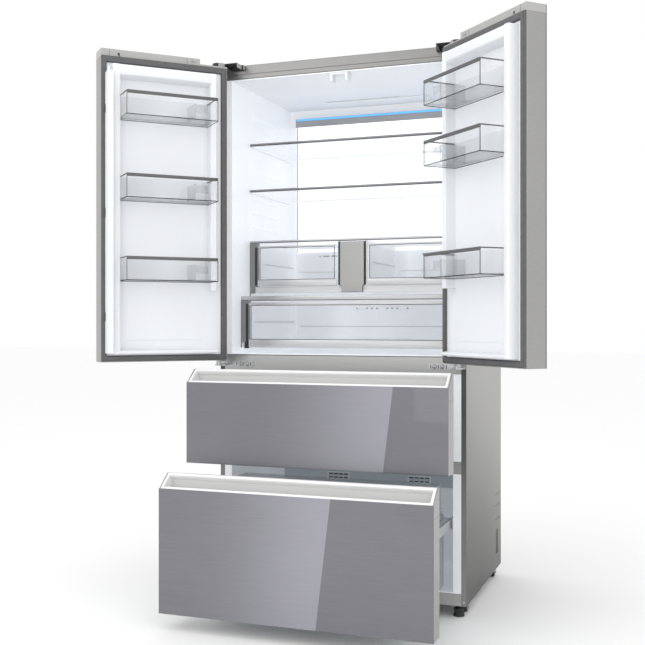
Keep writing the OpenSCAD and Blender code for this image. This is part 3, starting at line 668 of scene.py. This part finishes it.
class FRIDGE_OT_cabinet(bpy.types.Operator):
    """Sides, top, rails, rear and base of the cabinet"""
    bl_idname = "fridge.cabinet"
    bl_label = "Cabinet"

    def execute(self, context):
        size = sizes()
        # The front flanges carry painted shade of their own: darker high up and lighter towards
        # the floor
        flange = painted_steel("side", 0.85, 0.80, 0.05)
        for side in ("left", "right"):
            softened(side + "_side_panel", "cabinet", painted_steel(),
                     size.crisp / 4, (flange,), lambda f: int(f.normal.y < -0.9))
            self.side_details(side)
        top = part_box("fridge_liner")[1].z
        softened("front_frame", "cabinet", brushed_steel(0.0, "trim", 1.28),
                 size.crisp / 2, (brushed_steel(0.0, "trim", 0.72),),
                 lambda f: int(f.calc_center_median().z > top))
        dress("top_panel", painted_steel("side", 0.9))
        dress("compressor_cover", painted_steel("seal", 0.7))
        dress("base_tray", satin_metal("silver", 0.8))
        dress("compressor", rubber("seal", 0.5))
        dress("evaporator", satin_metal())
        dress("foam_fill", moulded_plastic("liner", 0.6, 0.0, 0.8))
        dress("fan", moulded_plastic())
        self.rear_details()
        return {"FINISHED"}

    louvre_heights = (0.318, 0.276, 0.222)
    recess_bottom, recess_top = 0.097, 0.192

    def side_details(self, side):
        """Slanting louvre hoods, the pan of the lifting recess and the screw on the flange; the
        hoods carry a painted highlight and the pan carries painted light.
        """
        low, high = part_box(side + "_side_panel")
        sign = 1 if side == "right" else -1
        outer = high.x if sign > 0 else low.x
        hoods, pan, screw = bmesh.new(), bmesh.new(), bmesh.new()
        for z in self.louvre_heights:
            near, far = sorted((outer - sign * 0.0036, outer - sign * 0.0005))
            box_piece(hoods, (near, high.y - 0.1195, z + 0.0002),
                      (far, high.y - 0.0285, z + 0.0044), 0.0008)
            near, far = sorted((outer - sign * 0.0016, outer))
            box_piece(hoods, (near, high.y - 0.121, z + 0.0068), (far, high.y - 0.027, z + 0.0090),
                      0.0006)
        floor_x, middle_y = outer - sign * 0.004, high.y - 0.090
        box_piece(pan, (floor_x - 0.001, middle_y - 0.022, self.recess_bottom - 0.003),
                  (floor_x + 0.001, middle_y + 0.022, self.recess_top + 0.004), 0.0008)
        near, far = sorted((outer - sign * 0.0016, outer))
        for y in (middle_y - 0.0205, middle_y + 0.0175):
            box_piece(hoods, (near, y, self.recess_bottom), (far, y + 0.003, self.recess_top),
                      0.0006)
        disc_piece(screw, (outer - sign * 0.0085, low.y - 0.0008, low.z + 0.014), 0.0042, 0.0024,
                   0.0008)
        # The hoods are painted lighter than the side: a painted highlight where light catches them
        piece(side + "_louvre_hoods", hoods, "cabinet", painted_steel("side", 2.0))
        # The pan is painted lighter than the side: painted light in place of the recess's shade
        piece(side + "_recess_pan", pan, "cabinet", painted_steel("side", 1.6))
        piece(side + "_flange_screw", screw, "cabinet", satin_metal())

    def rear_details(self):
        """Rear sheet with pressed ribs and edge screws that stand out to its outer face."""
        low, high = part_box("rear_panel")
        sheet, ribs, screws = bmesh.new(), bmesh.new(), bmesh.new()
        inside = high.y - 0.0006
        rib_count, rib_half, rib_end = 4, 0.022, 0.12
        screw_rows, screw_inset, end_inset = 7, 0.012, 0.03
        box_piece(sheet, (low.x, low.y, low.z), (high.x, inside, high.z), 0.0001)
        width = high.x - low.x
        for part in range(1, rib_count + 1):
            x = low.x + width * part / (rib_count + 1)
            box_piece(ribs, (x - rib_half, inside - 0.0005, low.z + rib_end),
                      (x + rib_half, high.y, high.z - rib_end), 0.0002)
        for part in range(screw_rows):
            z = low.z + end_inset + (high.z - low.z - 2 * end_inset) * part / (screw_rows - 1)
            for x in (low.x + screw_inset, high.x - screw_inset):
                disc_piece(screws, (x, inside, z), 0.0045, 0.001, 0.0003)
        piece("rear_sheet", sheet, "cabinet", painted_steel("side", 0.9),
              replaces=("rear_panel",))
        piece("rear_ribs", ribs, "cabinet", painted_steel("side", 0.9))
        piece("rear_screws", screws, "cabinet", satin_metal())


class FRIDGE_OT_hinges(bpy.types.Operator):
    """Hinges, their covers and slotted screws"""
    bl_idname = "fridge.hinges"
    bl_label = "Hinges"

    slot_insets = (0.3835, 0.356, 0.330)
    screw_insets = (0.369, 0.343)

    def execute(self, context):
        size = sizes()
        softened("top_hinges", "cabinet", satin_metal("silver", 0.6), 0.0006)
        softened("hinge_covers", "cabinet", moulded_plastic("trim", 0.35),
                 size.crisp, (rubber("seal", 0.3),),
                 lambda f: int(f.normal.z < -0.5 or f.normal.y < -0.9))
        softened("middle_hinges", "cabinet", satin_metal("silver", 1.1, 1.0),
                 0.0008)
        low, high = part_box("middle_hinges")
        plate_z = low.z + 0.009
        heads, slots = bmesh.new(), bmesh.new()
        for side in (-1, 1):
            for inset in self.slot_insets:
                box_piece(slots, (side * inset - 0.0012, high.y - 0.0048, plate_z - 0.007),
                          (side * inset + 0.0012, high.y - 0.0038, plate_z + 0.007), 0.0002)
            for inset in self.screw_insets:
                centre = Vector((side * inset, high.y - 0.0048, plate_z))
                disc_piece(slots, centre + Vector((0, 0.0011, 0)), size.screw * 1.28, 0.001,
                           0.0002)
                disc_piece(heads, centre, size.screw, 0.003, 0.001)
                box_piece(slots, centre + Vector((-0.0008, -0.0018, -0.0048)),
                          centre + Vector((0.0008, -0.0013, 0.0048)), 0.0001)
        piece("hinge_screw_heads", heads, "cabinet", satin_metal("silver", 1.1))
        piece("hinge_screw_slots", slots, "cabinet", rubber("seal", 0.3))
        return {"FINISHED"}


class FRIDGE_OT_feet(bpy.types.Operator):
    """Levelling feet and rollers"""
    bl_idname = "fridge.feet"
    bl_label = "Feet and rollers"

    def execute(self, context):
        for name in ("left_foot", "right_foot", "front_rollers", "rear_rollers"):
            softened(name, name, rubber("seal", 0.28), sizes().crisp / 2)
        return {"FINISHED"}


# ---------------------------------------------------------------- inside

class FRIDGE_OT_compartments(bpy.types.Operator):
    """Liners, duct covers, lamp and the ribs of the side walls"""
    bl_idname = "fridge.compartments"
    bl_label = "Compartments"

    def execute(self, context):
        size = sizes()
        # Walls and ceiling carry different painted glow: the ceiling faces are given less painted
        # light
        softened("fridge_liner", "cabinet", moulded_plastic("liner", 0.3, WALL_GLOW),
                 size.crisp / 2, (moulded_plastic("liner", 0.3, CEILING_GLOW),),
                 lambda f: int(f.normal.z < -0.9))
        softened("freezer_liner", "cabinet", moulded_plastic("liner", 0.3, FREEZER_GLOW),
                 size.crisp / 2)
        softened("freezer_duct", "cabinet", moulded_plastic("freezer", 0.4, COVER_GLOW),
                 size.crisp / 2)
        self.vents()
        softened("strip_guide", "cabinet", moulded_plastic(), size.crisp)
        softened("ceiling_lamp", "cabinet", moulded_plastic("liner", 0.5, CEILING_GLOW),
                 size.crisp)
        self.duct()
        self.wall_ribs()
        self.ceiling_slit()
        return {"FINISHED"}

    def vents(self):
        """Dark louvres and pale frames around the two groups of vents in the rear cover."""
        low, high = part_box("freezer_duct")
        half = high.x
        slots, frames = bmesh.new(), bmesh.new()
        group_middles = (-0.42, 0.4)
        for share in group_middles:
            left, right = half * share - 0.044, half * share + 0.040
            for z in (low.z + 0.0155, low.z + 0.0295):
                box_piece(slots, (left + 0.001, low.y + 0.0012, z),
                          (right - 0.001, low.y + 0.0020, z + 0.0055), 0.0002)
            for z in (low.z + 0.0105, low.z + 0.0375):
                box_piece(frames, (left - 0.004, low.y - 0.002, z),
                          (right + 0.004, low.y + 0.0004, z + 0.003), 0.0006)
            for x in (left - 0.004, right + 0.001):
                box_piece(frames, (x, low.y - 0.002, low.z + 0.0105),
                          (x + 0.003, low.y + 0.0004, low.z + 0.0405), 0.0006)
        piece("vent_slots", slots, "cabinet", rubber("seal", 0.3))
        # The frames carry a faint painted glow that stands in for the compartment's light
        piece("vent_frames", frames, "cabinet", moulded_plastic("pocket", 0.4, 0.1))

    def duct(self):
        """White duct cover, its dark edge line, the grey header and the light strip."""
        low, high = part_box("duct_panel")
        header_height = 0.034
        header = high.z - header_height
        softened("duct_panel", "cabinet", moulded_plastic("liner", 0.25, DUCT_GLOW),
                 0.001, (satin_metal("silver", 0.75, 0.2),),
                 lambda f: int(f.calc_center_median().z > header))
        strip, line = bmesh.new(), bmesh.new()
        box_piece(strip, (low.x + 0.004, low.y - 0.0015, high.z - 0.008),
                  (high.x - 0.004, low.y + 0.001, high.z - 0.001), 0.0006)
        for x in (low.x + 0.005, high.x - 0.007):
            box_piece(line, (x, low.y + 0.004, low.z + 0.004),
                      (x + 0.002, low.y + 0.0065, header - 0.002), 0.0004)
        piece("duct_light_strip", strip, "cabinet", light_strip())
        piece("duct_edge_line", line, "cabinet", satin_metal("line", 1.0, 0.0))

    def wall_ribs(self):
        """Short moulded ribs on both side walls between the shelves."""
        size = sizes()
        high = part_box("fridge_liner")[1]
        shelf_boxes = islands("glass_shelves")
        front = shelf_boxes[-1][0].y
        wall = shelf_boxes[-1][1].x + 0.001
        bm = bmesh.new()
        top = high.z - 0.10
        start = shelf_boxes[-3][1].z + 0.05
        shelf_tops = [box[1].z for box in shelf_boxes]
        count = 9
        for step in range(count):
            z = start + (top - start) * step / (count - 1)
            if any(abs(z - shelf) < 0.03 for shelf in shelf_tops):
                continue
            for sign in (-1, 1):
                near, far = sorted((sign * wall, sign * (wall - size.rib)))
                box_piece(bm, (near, front + 0.03, z), (far, front + 0.27, z + 0.008), 0.0012)
        piece("wall_ribs", bm, "cabinet", moulded_plastic("liner", 0.3, RIB_GLOW))

    def ceiling_slit(self):
        """The thin joint line across the ceiling in front of the lamp."""
        low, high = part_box("ceiling_lamp")
        bm = bmesh.new()
        for y in (low.y - 0.006, high.y + 0.004):
            box_piece(bm, (low.x, y, high.z - 0.001), (high.x * 0.5, y + 0.0016, high.z), 0.0002)
        piece("ceiling_slit", bm, "cabinet", moulded_plastic("pocket", 0.5))


class FRIDGE_OT_shelves(bpy.types.Operator):
    """Glass shelves with their trims"""
    bl_idname = "fridge.shelves"
    bl_label = "Shelves"

    def execute(self, context):
        size = sizes()
        plates, dark, pale, rears, lines = (bmesh.new() for _ in range(5))
        for number, (low, high) in enumerate(islands("glass_shelves")):
            tall = min(0.018, high.z - low.z)
            trims = pale if number < 2 else dark
            box_piece(plates, (low.x + 0.001, low.y + 0.007, high.z - 0.005),
                      (high.x - 0.001, high.y - 0.004, high.z - 0.001), 0.0006)
            box_piece(trims, (low.x, low.y, high.z - tall),
                      (high.x, low.y + 0.010, high.z), 0.0018)
            box_piece(rears, (low.x, high.y - 0.010, high.z - 0.0065),
                      (high.x, high.y, high.z), 0.0015)
            box_piece(lines, (low.x + 0.001, low.y - 0.0004, high.z - tall + 0.0005),
                      (high.x - 0.001, low.y + 0.001, high.z - tall + 0.0005 + size.line),
                      0.0003)
        piece("shelf_rear_trims", rears, "cabinet", moulded_plastic("liner", 0.3, RIB_GLOW))
        piece("shelf_glass", plates, "cabinet", clear_plastic("clear", 0.12, COVER_GLOW),
              replaces=("glass_shelves",))
        piece("shelf_trims", dark, "cabinet", satin_metal("silver", 0.50, 0.3))
        piece("cover_trims", pale, "cabinet", satin_metal("silver", 1.0, 0.5))
        piece("shelf_lines", lines, "cabinet", satin_metal("line", 2.0, 0.0))
        return {"FINISHED"}


class FRIDGE_OT_crispers(bpy.types.Operator):
    """Small drawers, wide drawer, water tank and their frame"""
    bl_idname = "fridge.crispers"
    bl_label = "Crispers and tank"

    def execute(self, context):
        size = sizes()
        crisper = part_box("right_crisper")
        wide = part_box("wide_drawer")
        over_wide = wide[1].z + 0.01
        post_depth, bar_depth = 0.026, 0.030
        foot_height, upper_foot_height = 0.020, 0.045

        def part(face):
            """0 for pale cheeks and rails, 1 for posts, 2 for the cross bar, 3 for feet."""
            centre = face.calc_center_median()
            front = wide[0].y if centre.z < over_wide else crisper[0].y
            if abs(centre.x) > crisper[1].x + 0.001:
                foot = wide[0].z if centre.z < over_wide else crisper[0].z - 0.002
                if centre.y > front + post_depth or centre.z < wide[0].z - 0.0005:
                    return 0
                is_post = (centre.z > foot + foot_height
                           or foot > wide[1].z < centre.z - upper_foot_height)
                return 1 if is_post else 3
            return 2 if centre.y < crisper[0].y + bar_depth else 0

        softened("drawer_frame", "cabinet", moulded_plastic("liner", 0.3, COVER_GLOW),
                 size.crisp / 2,
                 (satin_metal("silver", 0.46, 0.6), satin_metal("silver", 1.35, 0.3),
                  satin_metal("line", 1.4, 0.2)), part)
        for name in ("left_crisper", "right_crisper"):
            self.drawer(name, top_trim=0.006, foot_trim=0.024)
        self.drawer("wide_drawer", top_trim=0.010, foot_trim=0.029)
        self.posts()
        self.tank()
        return {"FINISHED"}

    def drawer(self, name, top_trim, foot_trim):
        """One clear tub: silver trims above and below a window with a dark outline."""
        size = sizes()
        low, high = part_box(name)
        tub, trim, line = (bmesh.new() for _ in range(3))
        tub_piece(tub, (low.x, low.y + 0.005, low.z), high, size.wall, size.corner)
        box_piece(trim, (low.x, low.y, high.z - top_trim), (high.x, low.y + 0.006, high.z),
                  0.0015)
        box_piece(trim, (low.x, low.y, low.z), (high.x, low.y + 0.006, low.z + foot_trim),
                  0.002)
        window = (low.z + foot_trim, high.z - top_trim)
        self.tub_details(name, low, high)
        thin = size.line * 0.7
        inset = 0.008
        for z in (window[0], window[1] - thin):
            box_piece(line, (low.x + inset, low.y + 0.002, z),
                      (high.x - inset, low.y + 0.0045, z + thin), 0.0004)
        for x in (low.x + inset, high.x - inset - thin):
            box_piece(line, (x, low.y + 0.002, window[0]), (x + thin, low.y + 0.0045, window[1]),
                      0.0004)
        piece(name + "_tub", tub, name, clear_plastic("clear", 0.26, RIB_GLOW),
              replaces=(name,))
        piece(name + "_trims", trim, name, satin_metal("silver", 1.1, 0.45))
        piece(name + "_outline", line, name, satin_metal("line", 1.5, 0.0))

    def tub_details(self, name, low, high):
        """Air slots high on the tub's rear wall, upright ribs at its floor and side steps."""
        slots, ribs = bmesh.new(), bmesh.new()
        middle, rear = (low.x + high.x) / 2, high.y - 0.0035
        pitch, tall = (high.x - low.x) * 0.028, high.z - low.z
        for step in range(-5, 6):
            x = middle + step * pitch
            if step % 4:
                box_piece(slots, (x - 0.004, rear - 0.001, high.z - 0.020),
                          (x + 0.004, rear + 0.001, high.z - 0.014), 0.0004)
            box_piece(ribs, (x - 0.001, rear - 0.003, low.z + 0.006),
                      (x + 0.001, rear, low.z + 0.030), 0.0004)
        for x in (low.x + 0.004, high.x - 0.006):
            box_piece(ribs, (x, low.y + 0.05, low.z + tall * 0.55),
                      (x + 0.002, high.y - 0.03, low.z + tall * 0.58), 0.0005)
        box_piece(ribs, (low.x + 0.02, rear - 0.002, low.z + tall * 0.45),
                  (high.x - 0.02, rear, low.z + tall * 0.47), 0.0005)
        piece(name + "_air_slots", slots, name, satin_metal("silver", 0.35, 0.1))
        piece(name + "_ribs", ribs, name, satin_metal("silver", 1.0, 0.0))

    def posts(self):
        """Dark faces on the upright posts beside the drawers."""
        bm = bmesh.new()
        for low, high in (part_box("wide_drawer"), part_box("right_crisper")):
            y = low.y + 0.005
            for sign in (-1, 1):
                near, far = sorted((sign * (high.x + 0.004), sign * (high.x + 0.013)))
                box_piece(bm, (near, y - 0.0016, low.z + 0.004), (far, y + 0.001, high.z - 0.004),
                          0.0006)
        piece("post_inlays", bm, "cabinet", satin_metal("line", 1.2, 0.2))

    def tank(self):
        """Tank body with a brushed front plate, dark side strips and a darker grip lip."""
        low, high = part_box("water_tank")
        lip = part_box("right_crisper")[0].z
        softened("water_tank", "water_tank", brushed_steel(0.0, "tank"),
                 sizes().crisp, (brushed_steel(0.0, "tank", 0.5),),
                 lambda f: int(f.calc_center_median().z < lip))
        strips = bmesh.new()
        for sign in (-1, 1):
            near, far = sorted((sign * (high.x + 0.0012), sign * (high.x + 0.0068)))
            box_piece(strips, (near, low.y + 0.003, lip + 0.002), (far, low.y + 0.0052, high.z),
                      0.0005)
        piece("tank_side_strips", strips, "cabinet", satin_metal("line", 1.3, 0.2))


# ---------------------------------------------------------------- drawers

class FRIDGE_OT_drawers(bpy.types.Operator):
    """Drawer fronts with their handle channels, gaskets, tubs and slides"""
    bl_idname = "fridge.drawers"
    bl_label = "Drawers"

    def execute(self, context):
        size = sizes()
        for name in ("middle", "lower"):
            body = name + "_drawer"
            softened(name + "_glass", body, steel_under_glass(), size.crisp)
            softened(name + "_core", body, brushed_steel(), size.crisp)
            softened(name + "_gasket", body, rubber(), size.crisp)
            self.handle(name, body)
            for node, owner in ((name + "_slides", body),
                                (name + "_slide_links", name + "_slide_links")):
                softened(node, owner, satin_metal("silver", 1.0, 0.9),
                         size.crisp / 2)
        softened("fixed_slides", "cabinet", satin_metal("silver", 1.2, 0.7),
                 size.crisp / 2)
        for node, owner, key, cover in (
                ("middle_basket", "middle_drawer", "clear", 0.35),
                ("lower_bin", "lower_drawer", "freezer", 0.55),
                ("lower_tray", "lower_tray", "freezer", 0.40)):
            softened(node, owner, clear_plastic(key, cover, FREEZER_GLOW),
                     size.crisp / 2)
        return {"FINISHED"}

    def handle(self, name, body):
        """Light frame around a greyer channel."""
        low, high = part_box(name + "_handle")
        end = 0.0095

        def channel(face):
            centre = face.calc_center_median()
            inside_x = low.x + end < centre.x < high.x - end
            inside_y = low.y + 0.004 < centre.y < high.y - 0.004
            return int(inside_x and inside_y and centre.z > low.z + 0.004
                       and abs(face.normal.z + face.normal.y) < 1.35
                       and not (face.normal.z > 0.3 and face.normal.y < -0.3))

        softened(name + "_handle", body, moulded_plastic("handle", 0.35),
                 sizes().crisp, (moulded_plastic("pocket", 0.4),), channel)


# ---------------------------------------------------------------- stage

class FRIDGE_OT_stage(bpy.types.Operator):
    """Floor, soft studio lights and the camera"""
    bl_idname = "fridge.stage"
    bl_label = "Studio"

    def execute(self, context):
        size = sizes()
        bm = bmesh.new()
        bmesh.ops.create_grid(bm, x_segments=2, y_segments=2, size=30.0)
        mesh = bpy.data.meshes.new("floor")
        bm.to_mesh(mesh)
        bm.free()
        mesh.materials.append(studio_floor())
        floor = bpy.data.objects.new("floor", mesh)
        context.scene.collection.objects.link(floor)
        for name, at, aim, width, power in (
                ("key", (-2.6, -4.2, 3.4), (0, 0, 0.9), 3.0, 40),
                ("fill", (3.8, -3.0, 2.2), (0, 0, 0.9), 3.0, 16),
                ("front", (0.4, -4.8, 1.5), (0, 0, 1.1), 2.6, 16),
                ("top", (0.0, -1.2, 4.4), (0, 0, 0.8), 3.0, 22)):
            light = bpy.data.lights.new(name, "AREA")
            light.size = width
            light.energy = power
            lamp = bpy.data.objects.new(name, light)
            lamp.location = at
            lamp.rotation_euler = (Vector(aim) - Vector(at)).to_track_quat("-Z", "Y").to_euler()
            context.scene.collection.objects.link(lamp)
        context.scene.view_settings.view_transform = "Standard"
        world = bpy.data.worlds.new("studio")
        world.use_nodes = True
        background = world.node_tree.nodes["Background"]
        background.inputs["Color"].default_value = (1, 1, 1, 1)
        background.inputs["Strength"].default_value = 1.0
        context.scene.world = world
        camera_data = bpy.data.cameras.new("camera")
        camera_data.lens = size.lens
        camera = bpy.data.objects.new("camera", camera_data)
        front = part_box("front_frame")[0].y
        camera.location = (size.side, front - size.distance, size.height)
        camera.rotation_euler = (math.radians(90), 0, size.turn)
        context.scene.collection.objects.link(camera)
        context.scene.camera = camera
        return {"FINISHED"}


class FRIDGE_PT_parts(bpy.types.Panel):
    """Lists the refrigerator's operators, sizes and colours"""
    bl_label = "Refrigerator"
    bl_idname = "FRIDGE_PT_parts"
    bl_space_type = "VIEW_3D"
    bl_region_type = "UI"
    bl_category = "Refrigerator"

    def draw(self, context):
        layout = self.layout
        for operator in OPERATORS:
            layout.operator(operator.bl_idname)
        for group in (context.scene.fridge_sizes, context.scene.fridge_colours):
            column = layout.column(align=True)
            for name in group.__annotations__:
                column.prop(group, name)


OPERATORS = (FRIDGE_OT_cabinet, FRIDGE_OT_hinges, FRIDGE_OT_feet, FRIDGE_OT_compartments,
             FRIDGE_OT_shelves, FRIDGE_OT_crispers, FRIDGE_OT_doors, FRIDGE_OT_bins,
             FRIDGE_OT_strip, FRIDGE_OT_drawers, FRIDGE_OT_stage)
CLASSES = (FridgeSizes, FridgeColours, *OPERATORS, FRIDGE_PT_parts)


def register():
    for cls in CLASSES:
        bpy.utils.register_class(cls)
    bpy.types.Scene.fridge_sizes = PointerProperty(type=FridgeSizes)
    bpy.types.Scene.fridge_colours = PointerProperty(type=FridgeColours)


def unregister():
    del bpy.types.Scene.fridge_colours
    del bpy.types.Scene.fridge_sizes
    for cls in reversed(CLASSES):
        bpy.utils.unregister_class(cls)


def main():
    register()
    for operator in OPERATORS:
        group, name = operator.bl_idname.split(".")
        getattr(getattr(bpy.ops, group), name)()


if __name__ == "__main__":
    main()
